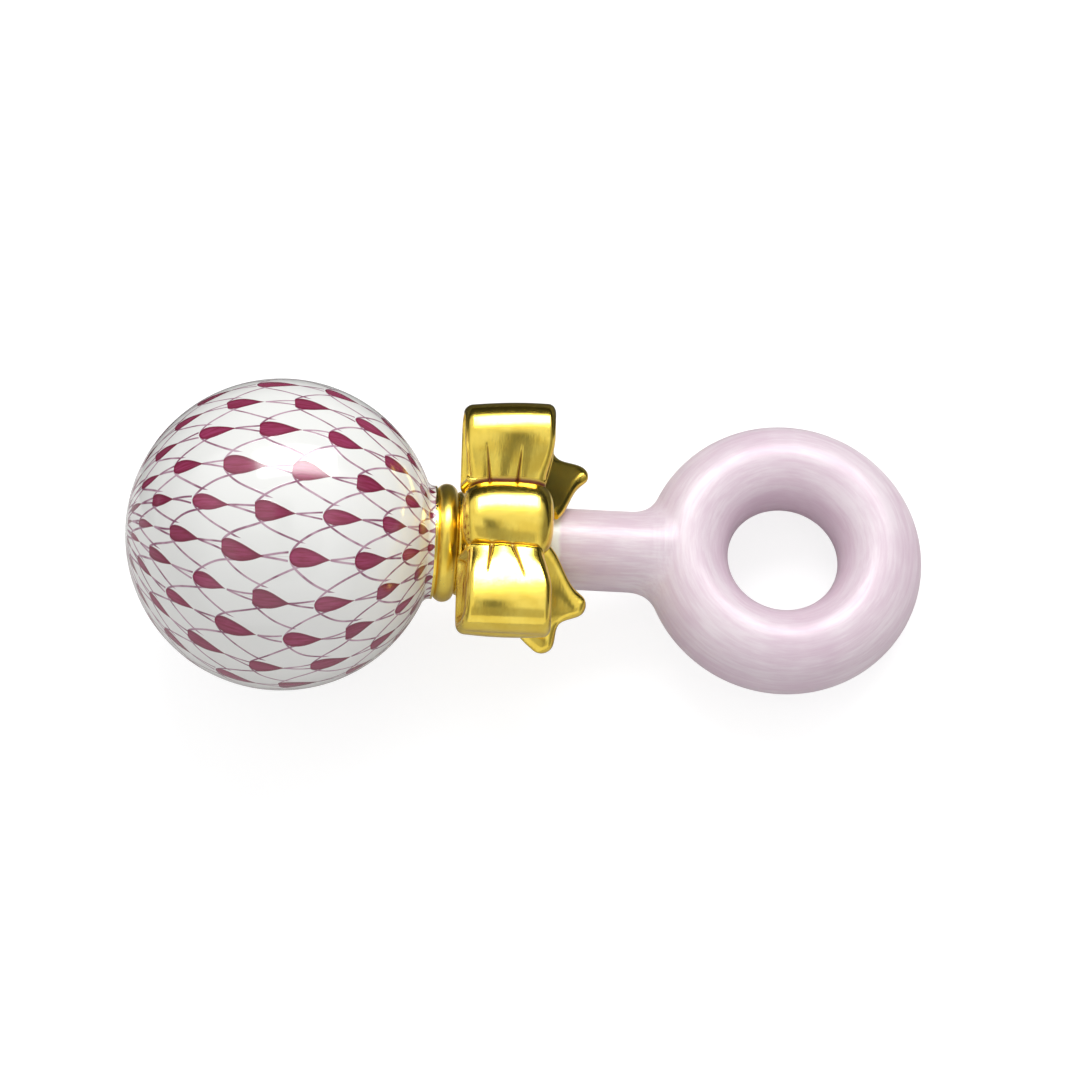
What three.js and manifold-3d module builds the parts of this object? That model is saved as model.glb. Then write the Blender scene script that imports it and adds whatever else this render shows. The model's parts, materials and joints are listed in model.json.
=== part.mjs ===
// A porcelain baby rattle: a hollow ball with loose pellets in it, a gilded collar and ribbon bow
// round its neck, and a stem that ends in a ring handle.
//
// Units are millimetres and +Z is up. Each piece is modelled along the rattle's own long axis: x runs
// from the centre of the ball towards the ring, y runs across, and z points to the side that carries
// the bow. The whole rattle is then laid on its back on a table at z = 0, where it rests on the ball
// and on the far side of the ring, so its long axis dips towards the ring.
import * as THREE from "three";
import { mergeVertices } from "three/addons/utils/BufferGeometryUtils.js";
import Module from "manifold-3d";

const wasm = await Module();
wasm.setup();

// Driving dimensions. Places along the rattle are distances from the centre of the ball.
const LUTE = 0.3; // slip joint between two pieces that are luted together
const REST_DEPTH = 0.4; // how much of the ball and the ring is ground flat where they rest

const BALL = { radius: 25.5, wall: 3, lip: 1.7, lipWall: 1.3, ventRadius: 0.9 };
const NECK = { radius: 9.3, end: 25, holeRadius: 6, fillet: 1.3 };
const PELLET = { radius: 2.3, count: 5, pitch: 5.1, clearance: 0.3 };

const TENON = { radius: 5 }; // core of the handle that carries the collar and the ribbon
const BEAD = { start: 25.3, end: 28, crown: 9.7 };
const ASTRAGAL = { start: 28.3, end: 29.3, crown: 8.6 };
const BAND = { start: 29.6, end: 43.5, radius: 8.2, edge: 0.6 };

const BOW = { x: 35.9 }; // middle of the bow
const KNOT = { halfLength: 7.1, halfWidth: 5.3, halfHeight: 4.05, z: 12.55 };
const LOOP = {
  rootWidth: 12.8, tipWidth: 15.2, rootY: 5.6, rootTop: 15.3, foldY: 15.1, foldZ: 12.4,
  foldRadius: 4.5, bevel: 1.1,
};
const POCKET = { rootY: 8.8, rootBottom: 11, rootTop: 13.2, radius: 2.5, depth: 1.6 };
const TAIL = {
  innerTip: [49.9, 11.2, 4.0], outerTip: [42.2, 18.9, 1.5], root: [37.7, 9.6, 5.6],
  rootHalfWidth: 4.2, notch: 1.7, thickness: 1.8, bevel: 0.5,
};

const STEM = { start: BAND.end + LUTE, end: 57.1, radius: 6.65, shoulder: 0.6 };
const SPIGOT = { radius: 3.2, length: 5 }; // end of the stem that enters the ring's stub
const RING = {
  x: 82.5, radius: 16.05, tube: 6.9, stubStart: STEM.end + LUTE,
  fillet: 3.2, levels: 9, levelThickness: 1.2,
};

const ROUND_SEGMENTS = 48; // facets round the ball and the ring
const SMALL_SEGMENTS = 32; // facets round the neck pieces and the stem
const EAST = -Math.PI / 2; // turns a lathe's axis from +y to +x

const ballInside = BALL.radius - BALL.wall;
const tiltAngle = Math.asin((BALL.radius - RING.tube) / (RING.x + RING.radius));
const layDown = new THREE.Matrix4()
  .makeRotationY(tiltAngle)
  .setPosition(0, 0, BALL.radius - REST_DEPTH);

// Materials

const porcelain = new THREE.MeshStandardMaterial({ color: 0xf4f2ee, roughness: 0.12 });
const biscuit = new THREE.MeshStandardMaterial({ color: 0xe9e4da, roughness: 0.6 });
const gilding = new THREE.MeshStandardMaterial({ color: 0xd9b445, roughness: 0.15, metalness: 1 });
const lilacGlaze = new THREE.MeshStandardMaterial({ color: 0xe3cfdb, roughness: 0.2 });

// Booleans: three.js geometry goes in and comes out.

function toSolid(geometry) {
  const bare = new THREE.BufferGeometry();
  bare.setAttribute("position", geometry.getAttribute("position"));
  bare.setIndex(geometry.index);
  const merged = mergeVertices(bare, 1e-4);
  return new wasm.Manifold(new wasm.Mesh({
    numProp: 3,
    vertProperties: merged.attributes.position.array,
    triVerts: new Uint32Array(merged.index.array),
  }));
}

function toGeometry(solid) {
  const mesh = solid.getMesh();
  const geometry = new THREE.BufferGeometry();
  geometry.setAttribute("position", new THREE.BufferAttribute(mesh.vertProperties, 3));
  geometry.setIndex(new THREE.BufferAttribute(mesh.triVerts, 1));
  return geometry;
}

function join(first, ...others) {
  return toGeometry(others.reduce((sum, other) => sum.add(toSolid(other)), toSolid(first)));
}

function cut(body, ...tools) {
  return toGeometry(tools.reduce((rest, tool) => rest.subtract(toSolid(tool)), toSolid(body)));
}

// Shapes

const turned = (distance, radius) => new THREE.Vector2(radius, distance);

// Points of a circular arc for a lathe, as (distance along the rattle, radius) with angles in degrees.
function turnedArc(distance, radius, size, from, to, steps) {
  return Array.from({ length: steps + 1 }, (_, i) => {
    const angle = THREE.MathUtils.degToRad(from + ((to - from) * i) / steps);
    return turned(distance + size * Math.sin(angle), radius + size * Math.cos(angle));
  });
}

function lathe(points, segments = SMALL_SEGMENTS) {
  return new THREE.LatheGeometry(points, segments).rotateZ(EAST);
}

function rod(from, to, radius, segments = SMALL_SEGMENTS) {
  return lathe([turned(from, 0), turned(from, radius), turned(to, radius), turned(to, 0)], segments);
}

// A ring on the core of the handle, with the given outer profile between its two ends.
function collarRing(start, end, outline) {
  const bore = TENON.radius + LUTE;
  return lathe([turned(start, bore), ...outline, turned(end, bore), turned(start, bore)]);
}

const sphereAngle = (distance, size) => THREE.MathUtils.radToDeg(Math.asin(distance / size));

// The table's solid, in the rattle's own frame.
function table() {
  const side = 400;
  return new THREE.BoxGeometry(side, side, side)
    .translate(0, 0, -side / 2)
    .applyMatrix4(layDown.clone().invert());
}

// Ball: two half shells with a lapped joint round the middle.

function endShell() {
  const seam = -LUTE / 2;
  const lipOutside = ballInside + BALL.lipWall;
  return lathe([
    ...turnedArc(0, 0, BALL.radius, -90, sphereAngle(seam, BALL.radius), 12),
    turned(seam, lipOutside),
    turned(BALL.lip, lipOutside),
    ...turnedArc(0, 0, ballInside, sphereAngle(BALL.lip, ballInside), -90, 10),
  ], ROUND_SEGMENTS);
}

function neckShell() {
  const seam = LUTE / 2;
  const recess = BALL.lip + LUTE;
  const recessRadius = ballInside + BALL.lipWall + LUTE;
  const filletRadius = NECK.radius + NECK.fillet;
  const filletStart = Math.sqrt((BALL.radius + NECK.fillet) ** 2 - filletRadius ** 2);
  const fillet = sphereAngle(filletStart, BALL.radius + NECK.fillet);
  const holeStart = Math.sqrt(ballInside ** 2 - NECK.holeRadius ** 2);
  const shell = lathe([
    turned(seam, recessRadius),
    ...turnedArc(0, 0, BALL.radius, sphereAngle(seam, BALL.radius), fillet, 10),
    ...turnedArc(filletStart, filletRadius, NECK.fillet, fillet + 180, 180, 3).slice(1),
    turned(NECK.end, NECK.radius),
    turned(NECK.end, NECK.holeRadius),
    ...turnedArc(0, 0, ballInside, sphereAngle(holeStart, ballInside),
      sphereAngle(recess, ballInside), 9),
    turned(recess, recessRadius),
    turned(seam, recessRadius),
  ], ROUND_SEGMENTS);
  const vent = new THREE.CylinderGeometry(BALL.ventRadius, BALL.ventRadius, 4 * BALL.wall, 16)
    .rotateX(Math.PI / 2)
    .translate(0, 0, -BALL.radius)
    .rotateY(-tiltAngle);
  return cut(shell, table(), vent);
}

const stopper = () => rod(ballInside - 0.9, NECK.end - LUTE, NECK.holeRadius - LUTE);

// A pellet lies at the bottom of its own track round the inside of the ball.
function pelletPlace(index) {
  const x = (index - (PELLET.count - 1) / 2) * PELLET.pitch;
  const reach = ballInside - PELLET.radius - PELLET.clearance;
  return new THREE.Vector3(x, 0, -Math.sqrt(reach ** 2 - x ** 2));
}

// Collar and ribbon round the neck

const bead = () => collarRing(BEAD.start, BEAD.end, turnedBead(BEAD));
const astragal = () => collarRing(ASTRAGAL.start, ASTRAGAL.end, turnedBead(ASTRAGAL));

function turnedBead({ start, end, crown }) {
  const size = (end - start) / 2;
  return turnedArc(start + size, crown - size, size, -90, 90, 6);
}

function band() {
  const { start, end, radius, edge } = BAND;
  return collarRing(start, end, [
    turned(start, radius - edge),
    turned(start + edge, radius),
    turned(end - edge, radius),
    turned(end, radius - edge),
  ]);
}

// Bow

// A rounded block: a sphere whose points are pushed out towards the corners of its box.
function pillow(halfLength, halfWidth, halfHeight, squareness) {
  const geometry = new THREE.SphereGeometry(1, 24, 14);
  const position = geometry.getAttribute("position");
  const push = (value) => Math.sign(value) * Math.abs(value) ** squareness;
  for (let i = 0; i < position.count; i++) {
    position.setXYZ(i,
      halfLength * push(position.getX(i)),
      halfWidth * push(position.getY(i)),
      halfHeight * push(position.getZ(i)));
  }
  return geometry;
}

const knot = () => pillow(KNOT.halfLength, KNOT.halfWidth, KNOT.halfHeight, 0.55)
  .translate(BOW.x, 0, KNOT.z);

// Side outline of a ribbon loop in the (y, z) plane: round at the fold and narrow at the root.
function loopOutline(rootY, rootBottom, rootTop, radius) {
  const { foldY, foldZ } = LOOP;
  return new THREE.Shape()
    .moveTo(rootY, rootBottom)
    .lineTo(foldY, foldZ - radius)
    .absarc(foldY, foldZ, radius, -Math.PI / 2, Math.PI / 2)
    .quadraticCurveTo(foldY - 5.5, foldZ + radius, rootY, rootTop);
}

// Stands an outline drawn in (y, z) up as a slab across the bow, centred on its middle.
function acrossBow(outline, width, bevel) {
  const settings = {
    depth: width - 2 * bevel, curveSegments: 8,
    bevelEnabled: bevel > 0, bevelThickness: bevel, bevelSize: bevel, bevelSegments: 2,
  };
  return new THREE.ExtrudeGeometry(outline, settings)
    .translate(0, 0, bevel - width / 2)
    .applyMatrix4(new THREE.Matrix4().set(0, 0, 1, 0, 1, 0, 0, 0, 0, 1, 0, 0, 0, 0, 0, 1));
}

// A ribbon loop: wide at its fold, pinched at the knot, with a pocket in each side between its leaves.
function loop(side) {
  const { rootWidth, tipWidth, rootY, rootTop, foldY, foldZ, foldRadius, bevel } = LOOP;
  const outline = loopOutline(rootY + bevel, foldZ - foldRadius + bevel, rootTop - bevel,
    foldRadius - bevel);
  const body = acrossBow(outline, tipWidth, bevel);
  const hollow = loopOutline(POCKET.rootY, POCKET.rootBottom, POCKET.rootTop, POCKET.radius);
  const pockets = [-1, 1].map((end) => acrossBow(hollow, 2 * POCKET.depth, 0)
    .translate((end * tipWidth) / 2, 0, 0));
  const geometry = cut(body, ...pockets);
  const position = geometry.getAttribute("position");
  for (let i = 0; i < position.count; i++) {
    const share = THREE.MathUtils.smoothstep(position.getY(i), rootY, foldY);
    position.setX(i, position.getX(i) * THREE.MathUtils.lerp(rootWidth / tipWidth, 1, share));
  }
  return mirrored(geometry, side).translate(BOW.x, 0, 0);
}

// The piece itself on the +y side of the bow, or its mirror image on the -y side.
function mirrored(geometry, side) {
  if (side > 0) return geometry;
  geometry.scale(1, -1, 1);
  const index = geometry.index.array;
  for (let i = 0; i < index.length; i += 3) {
    [index[i + 1], index[i + 2]] = [index[i + 2], index[i + 1]];
  }
  return geometry;
}

// A ribbon tail: a flat strip from under the loop, slanting back beside the stem to a notched end.
function tail(side) {
  const innerTip = new THREE.Vector3(...TAIL.innerTip);
  const outerTip = new THREE.Vector3(...TAIL.outerTip);
  const root = new THREE.Vector3(...TAIL.root);
  const across = innerTip.clone().sub(outerTip);
  const halfWidth = across.length() / 2;
  across.normalize();
  const middle = innerTip.clone().add(outerTip).multiplyScalar(0.5);
  const along = middle.clone().sub(root);
  along.addScaledVector(across, -along.dot(across));
  const length = along.length();
  along.normalize();
  const normal = new THREE.Vector3().crossVectors(along, across);
  const { bevel, thickness, notch, rootHalfWidth } = TAIL;
  const start = middle.clone().addScaledVector(along, -length);
  const outline = new THREE.Shape()
    .moveTo(bevel, -rootHalfWidth)
    .lineTo(length * 0.55, -halfWidth * 0.85)
    .lineTo(length - bevel, -halfWidth + bevel)
    .quadraticCurveTo(length - bevel, -halfWidth * 0.7, length - notch - bevel, 0)
    .quadraticCurveTo(length - bevel, halfWidth * 0.7, length - bevel, halfWidth - bevel)
    .lineTo(length * 0.55, halfWidth * 0.85)
    .lineTo(bevel, rootHalfWidth);
  const strip = new THREE.ExtrudeGeometry(outline, {
    depth: thickness - 2 * bevel, curveSegments: 4,
    bevelEnabled: true, bevelThickness: bevel, bevelSize: bevel, bevelSegments: 1,
  }).translate(0, 0, bevel - thickness / 2);
  strip.applyMatrix4(new THREE.Matrix4().makeBasis(along, across, normal).setPosition(start));
  return mirrored(join(strip), side);
}

// Handle

function stem() {
  const { start, end, radius, shoulder } = STEM;
  const core = NECK.end;
  return lathe([
    turned(core, 0),
    turned(core, TENON.radius),
    turned(start, TENON.radius),
    turned(start, radius - shoulder),
    turned(start + shoulder, radius),
    turned(end, radius),
    turned(end, SPIGOT.radius),
    turned(end + SPIGOT.length, SPIGOT.radius),
    turned(end + SPIGOT.length, 0),
  ]);
}

// One level of the fillets that round off the two crotches between the stub and the ring. The stub
// and the ring are both as wide as the tube is at that level.
function filletLevel(height, thickness) {
  const { x, radius, tube, fillet } = RING;
  const halfWidth = Math.sqrt(tube ** 2 - (Math.abs(height) + thickness / 2) ** 2);
  const centreY = halfWidth + fillet;
  const centreX = x - Math.sqrt((radius + halfWidth + fillet) ** 2 - centreY ** 2);
  const turn = Math.atan2(centreY, x - centreX);
  const outline = new THREE.Shape()
    .moveTo(centreX, -halfWidth)
    .absarc(centreX, -centreY, fillet, Math.PI / 2, turn, true)
    .lineTo(x - radius, 0)
    .absarc(centreX, centreY, fillet, -turn, -Math.PI / 2, true);
  return new THREE.ExtrudeGeometry(outline, {
    depth: thickness, bevelEnabled: false, curveSegments: 5,
  }).translate(0, 0, height - thickness / 2);
}

function filletLevels() {
  const thickness = RING.levelThickness;
  return Array.from({ length: RING.levels }, (_, i) => {
    const height = (i - (RING.levels - 1) / 2) * thickness;
    return filletLevel(height, thickness);
  });
}

function ring() {
  const { x, radius, tube, stubStart } = RING;
  const torus = new THREE.TorusGeometry(radius, tube, 24, ROUND_SEGMENTS).translate(x, 0, 0);
  const stub = rod(stubStart, x - radius, STEM.radius);
  const socket = rod(stubStart - 1, STEM.end + SPIGOT.length + LUTE, SPIGOT.radius + LUTE, 24);
  return cut(join(torus, stub, ...filletLevels()), socket, table());
}

// Assembly

function piece(name, geometry, material) {
  const mesh = new THREE.Mesh(geometry, material);
  mesh.name = name;
  return mesh;
}

const rattle = new THREE.Group();
rattle.add(
  piece("ball_end_shell", endShell(), porcelain),
  piece("ball_neck_shell", neckShell(), porcelain),
  piece("neck_stopper", stopper(), biscuit),
  piece("collar_bead", bead(), gilding),
  piece("collar_astragal", astragal(), gilding),
  piece("ribbon_band", band(), gilding),
  piece("bow_knot", knot(), gilding),
  piece("bow_loop_right", loop(1), gilding),
  piece("bow_loop_left", loop(-1), gilding),
  piece("bow_tail_right", tail(1), gilding),
  piece("bow_tail_left", tail(-1), gilding),
  piece("handle_stem", stem(), lilacGlaze),
  piece("handle_ring", ring(), lilacGlaze),
);
for (let i = 0; i < PELLET.count; i++) {
  const pellet = piece(`pellet_${i + 1}`, new THREE.SphereGeometry(PELLET.radius, 14, 10), biscuit);
  pellet.position.copy(pelletPlace(i));
  rattle.add(pellet);
}
layDown.decompose(rattle.position, rattle.quaternion, rattle.scale);

// The origin is on the table, under the middle of the rattle.
const bounds = new THREE.Box3().setFromObject(rattle, true);
const middle = bounds.getCenter(new THREE.Vector3());
rattle.position.x -= middle.x;
rattle.position.y -= middle.y;

const part = new THREE.Group();
part.add(rattle);
export default part;
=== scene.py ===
import json
import math

import bmesh
import bpy
import numpy as np
from mathutils import Matrix, Vector


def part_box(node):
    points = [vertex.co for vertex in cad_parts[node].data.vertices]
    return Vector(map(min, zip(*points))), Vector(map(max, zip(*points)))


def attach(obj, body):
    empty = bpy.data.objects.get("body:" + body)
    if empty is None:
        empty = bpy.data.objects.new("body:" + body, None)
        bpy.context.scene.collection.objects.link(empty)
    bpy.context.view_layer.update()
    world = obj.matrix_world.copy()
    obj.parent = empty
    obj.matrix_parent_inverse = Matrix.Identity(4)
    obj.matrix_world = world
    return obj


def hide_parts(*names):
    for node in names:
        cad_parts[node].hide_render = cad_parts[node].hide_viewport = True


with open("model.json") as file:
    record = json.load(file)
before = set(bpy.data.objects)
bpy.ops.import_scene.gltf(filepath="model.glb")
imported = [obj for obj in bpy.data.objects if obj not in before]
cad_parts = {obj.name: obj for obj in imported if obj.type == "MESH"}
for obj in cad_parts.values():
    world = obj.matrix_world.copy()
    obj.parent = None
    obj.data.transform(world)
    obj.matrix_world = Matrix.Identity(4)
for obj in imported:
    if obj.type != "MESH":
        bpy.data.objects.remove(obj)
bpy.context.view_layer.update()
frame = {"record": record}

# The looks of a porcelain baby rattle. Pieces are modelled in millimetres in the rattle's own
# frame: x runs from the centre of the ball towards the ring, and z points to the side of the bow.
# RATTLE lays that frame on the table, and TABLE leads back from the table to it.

scene = bpy.context.scene
MM = 0.001
BODY = "rattle"

roll = frame["record"]["behaviour"]["joints"][0]  # the pellets turn round the rattle's axis
ALONG = Vector(roll["axis"]).normalized()
ACROSS = Vector((0, 1, 0))
RATTLE = Matrix((ALONG, ACROSS, ALONG.cross(ACROSS))).transposed().to_4x4()
RATTLE.translation = Vector(roll["pos_m"])
TABLE = RATTLE.inverted()

# Driving dimensions, in millimetres

BALL_RADIUS, BALL_WALL = 25.5, 3.0
BALL_INSIDE = BALL_RADIUS - BALL_WALL
NECK_RADIUS, NECK_HOLE, NECK_END, NECK_FILLET = 9.3, 6.0, 25.0, 1.3
LIP_END, LIP_RADIUS = 1.7, 23.8
VENT_RADIUS = 0.9
TENON_RADIUS = 5.0
COLLAR_BORE = TENON_RADIUS + 0.1
BAND_START, BAND_END, BAND_RADIUS = 29.4, 43.5, 8.2
LAP_ANGLE = -19.0  # where the ribbon's end shows, in degrees round the neck from the bow's side
BOW_X = 35.9
KNOT_HALF, KNOT_X, KNOT_Z = 7.5, BOW_X + 0.2, 12.45
KNOT_SQUARE = 2.25  # how square the knot's section is; 2 is an ellipse
LOOP_ROOT, LOOP_FOLD, LOOP_Z = 5.4, 15.15, 12.4
LOOP_HALF = 4.5  # half the height of a loop
LOOP_EDGE = 1.25  # radius of its edges
LOOP_TIP_HALF, LOOP_ROOT_HALF = 7.45, 6.1  # half of its width on the side of the ring
TAIL_ROOT = (40.3, 6.2, 7.0)
TAIL_THICK, TAIL_EDGE = 1.0, 1.7  # half its thickness, and how far in its edges are rounded
TAIL_LOBE, TAIL_NOTCH = 2.1, 1.7  # radius of the lobes, and depth of the notch between them
STEM_RADIUS, STEM_JOINT = 6.65, 57.25
RING_X, RING_RADIUS, RING_TUBE = 82.5, 16.05, 6.9
RING_FILLET, RING_VOXEL = 5.0, 0.55

NET_ROWS = 22  # rows of scales round the ball
NET_REACH, NET_RATE = 97.0, 0.2526  # latitude of a scale is NET_REACH sin(NET_RATE times its number)
NET_PHASE = -0.455  # number of the scale at the middle of the first row
NET_START = 11.0  # longitude of the first row at the middle of the ball, in degrees
NET_SWIRL, NET_CURL = 0.095, -0.0018  # how the rows lean as they run to the neck
NET_LINE, NET_SOFT = 0.17, 0.07  # half the width of a brushed line, and how softly it ends
DROP_CENTRE, DROP_HEAD = 0.15, 0.165  # middle and radius of a drop's head, in scales
DROP_HALF, DROP_LENGTH = 0.208, 0.44  # its half width in rows, and its body's length in scales
ARC_UPPER, ARC_LOWER = (0.98, 1.818), (0.83, 2.0)  # reach in rows and power of a scale's two arcs
# the two lines that open from a drop's tip: length, slope, and how softly their outside ends
PAIR_LENGTH, PAIR_SPREAD, PAIR_SOFT = 0.4, 0.22, 0.06
NET_END = -80.0  # latitude where the net stops
GILT_START = 24.8  # where the collar's gilding begins on the neck

# The camera, in degrees, millimetres of lens and metres, and the studio, in metres

ROLL, YAW, SLOPE = 20.5, 4.0, 2.92
LENS, DISTANCE = 180.0, 0.883
BALL_OFFSET = (-42.27, 0.9)  # ball's centre from the middle of the view, in millimetres
SOFTBOX, SOFTBOX_WAY = (0.62, 0.27), (13.8, 56.5)
LAMP, LAMP_WATTS = (0.60, 0.25), 2.0
BOX_DISTANCE = 0.62
STUDIO = 1.6  # radius of the pale walls
WALL, WALL_DISTANCE = (1.3, 1.4), 1.05  # the wall behind the camera
STAND_X, STAND_HALF = 45.0, 170.0  # the dark upright on it: place and half width, in millimetres

# Meshes


def grid_faces(rows, columns, wrap_rows=False, wrap_columns=False):
    """Quads of a grid of points, which may close on itself either way."""
    faces = []
    for i in range(rows if wrap_rows else rows - 1):
        for j in range(columns if wrap_columns else columns - 1):
            a, b = (i + 1) % rows, (j + 1) % columns
            faces.append((i * columns + j, a * columns + j, a * columns + b, i * columns + b))
    return faces


def add_piece(name, points, faces, material, slot, *nodes, sharp=40, crease=None):
    """A closed, smooth piece of the rattle that stands for the given CAD nodes.

    How deep each point lies in a crease, from 0 to 1, is written down for the gilding.
    """
    mesh = bpy.data.meshes.new(name)
    mesh.from_pydata((np.asarray(points) * MM).tolist(), [], faces)
    if crease is not None:
        depth = np.clip(crease, 0, 1).astype(np.float32)
        mesh.attributes.new("crease", "FLOAT", "POINT").data.foreach_set("value", depth)
    shape = bmesh.new()
    shape.from_mesh(mesh)
    bmesh.ops.remove_doubles(shape, verts=shape.verts, dist=0.004 * MM)
    bmesh.ops.recalc_face_normals(shape, faces=shape.faces)
    shape.to_mesh(mesh)
    shape.free()
    mesh.shade_smooth()
    mesh.set_sharp_from_angle(angle=math.radians(sharp))
    return add_object(name, mesh, material, slot, *nodes)


def add_object(name, mesh, material, slot, *nodes, body=BODY):
    """A piece that shows a mesh, rides on a body and stands for the given CAD nodes."""
    piece = bpy.data.objects.new(name, mesh)
    scene.collection.objects.link(piece)
    piece.matrix_world = RATTLE
    mesh.materials.clear()
    mesh.materials.append(material)
    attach(piece, body)
    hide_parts(*nodes)
    return piece


def turn(profile, segments):
    """Points and faces of a body turned about x; the profile is a loop of (x, radius)."""
    profile = np.asarray(profile)
    angle = np.linspace(0, 2 * np.pi, segments, endpoint=False)
    x = np.repeat(profile[:, :1], segments, axis=1)
    y = profile[:, 1:] * np.sin(angle)
    z = profile[:, 1:] * np.cos(angle)
    points = np.stack([x, y, z], axis=-1).reshape(-1, 3)
    return points, grid_faces(len(profile), segments, wrap_rows=True, wrap_columns=True)


def arc(x, r, size, start, end, steps):
    """Profile points on a circle about (x, r); angles in degrees from the outward direction."""
    angle = np.radians(np.linspace(start, end, steps + 1))
    return [(x + size * math.sin(a), r + size * math.cos(a)) for a in angle]


def reach(x, size):
    """The angle at which a circle about the origin gets to x, in degrees."""
    return math.degrees(math.asin(x / size))


def carve(piece, *tools):
    """Takes the tools' volumes off a piece, and removes the tools."""
    for tool in tools:
        cut = piece.modifiers.new("cut", "BOOLEAN")
        cut.operation = "DIFFERENCE"
        cut.solver = "EXACT"
        cut.object = tool
    graph = bpy.context.evaluated_depsgraph_get()
    carved = bpy.data.meshes.new_from_object(piece.evaluated_get(graph), depsgraph=graph)
    piece.modifiers.clear()
    old, piece.data = piece.data, carved
    bpy.data.meshes.remove(old)
    for tool in tools:
        bpy.data.objects.remove(tool)


def cutter(points, faces):
    """A tool for carve, from points in the rattle's frame."""
    mesh = bpy.data.meshes.new("cutter")
    mesh.from_pydata((np.asarray(points) * MM).tolist(), [], faces)
    tool = bpy.data.objects.new("cutter", mesh)
    tool.matrix_world = RATTLE
    scene.collection.objects.link(tool)
    return tool


def box_cutter(low, high, turned=Matrix()):
    """A box between two corners in millimetres, which a matrix may bring to the rattle's frame."""
    corners = [turned @ (Vector((x, y, z)) * MM) / MM for x in (low[0], high[0])
               for y in (low[1], high[1]) for z in (low[2], high[2])]
    faces = [(0, 1, 3, 2), (4, 6, 7, 5), (0, 4, 5, 1), (2, 3, 7, 6), (0, 2, 6, 4), (1, 5, 7, 3)]
    return cutter([tuple(c) for c in corners], faces)


def table_cutter():
    """All that is below the table."""
    return box_cutter((-300, -300, -300), (300, 300, 0), TABLE)


def points_of(mesh):
    """The mesh's points, in millimetres."""
    points = np.empty(len(mesh.vertices) * 3)
    mesh.vertices.foreach_get("co", points)
    return points.reshape(-1, 3) / MM


def exact_normals(piece, surface_normals, closeness=0.985):
    """Faces that lie on a known smooth surface get its own normals, so no joint in them shows."""
    mesh = piece.data
    corners = np.empty(len(mesh.loops) * 3)
    mesh.corner_normals.foreach_get("vector", corners)
    corners = corners.reshape(-1, 3)
    vertex = np.empty(len(mesh.loops), int)
    mesh.loops.foreach_get("vertex_index", vertex)
    exact = surface_normals(points_of(mesh))[vertex]
    face_normal = np.empty(len(mesh.polygons) * 3)
    mesh.polygons.foreach_get("normal", face_normal)
    sizes = np.empty(len(mesh.polygons), int)
    mesh.polygons.foreach_get("loop_total", sizes)
    flat = np.repeat(face_normal.reshape(-1, 3), sizes, axis=0)
    agrees = (exact * flat).sum(1) > closeness
    face_of = np.repeat(np.arange(len(sizes)), sizes)
    whole = np.ones(len(sizes), bool)
    np.logical_and.at(whole, face_of, agrees)
    corners[whole[face_of]] = exact[whole[face_of]]
    mesh.normals_split_custom_set(corners.tolist())


# Shader arithmetic


class Shade:
    """A number in a material's node tree that takes part in arithmetic."""

    def __init__(self, tree, socket):
        self.tree, self.socket = tree, socket

    def math(self, operation, *others):
        node = self.tree.nodes.new("ShaderNodeMath")
        node.operation = operation
        for entry, value in zip(node.inputs, (self, *others)):
            feed(entry, value)
        return Shade(self.tree, node.outputs[0])

    def __add__(self, other):
        return self.math("ADD", other)

    def __sub__(self, other):
        return self.math("SUBTRACT", other)

    def __mul__(self, other):
        return self.math("MULTIPLY", other)

    def __truediv__(self, other):
        return self.math("DIVIDE", other)

    def __rsub__(self, other):
        return (self * -1) + other

    def __pow__(self, other):
        return self.math("POWER", other)

    __radd__ = __add__
    __rmul__ = __mul__

    def size(self):
        return self.math("ABSOLUTE")

    def least(self, other):
        return self.math("MINIMUM", other)

    def most(self, other):
        return self.math("MAXIMUM", other)

    def below(self, other):
        return self.math("LESS_THAN", other)

    def above(self, other):
        return self.math("GREATER_THAN", other)

    def ramp(self, low, high, start=0.0, end=1.0):
        """Goes smoothly from start to end as the number goes from low to high."""
        node = self.tree.nodes.new("ShaderNodeMapRange")
        node.interpolation_type = "SMOOTHSTEP"
        feed(node.inputs["Value"], self)
        for key, value in (("From Min", low), ("From Max", high), ("To Min", start),
                           ("To Max", end)):
            feed(node.inputs[key], value)
        return Shade(self.tree, node.outputs["Result"])


def feed(entry, value):
    """Gives an input a constant or links a shader value to it."""
    if isinstance(value, Shade):
        value.tree.links.new(value.socket, entry)
    elif hasattr(entry.default_value, "__len__"):
        entry.default_value = tuple(value)[:len(entry.default_value)]
    else:
        entry.default_value = value


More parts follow.
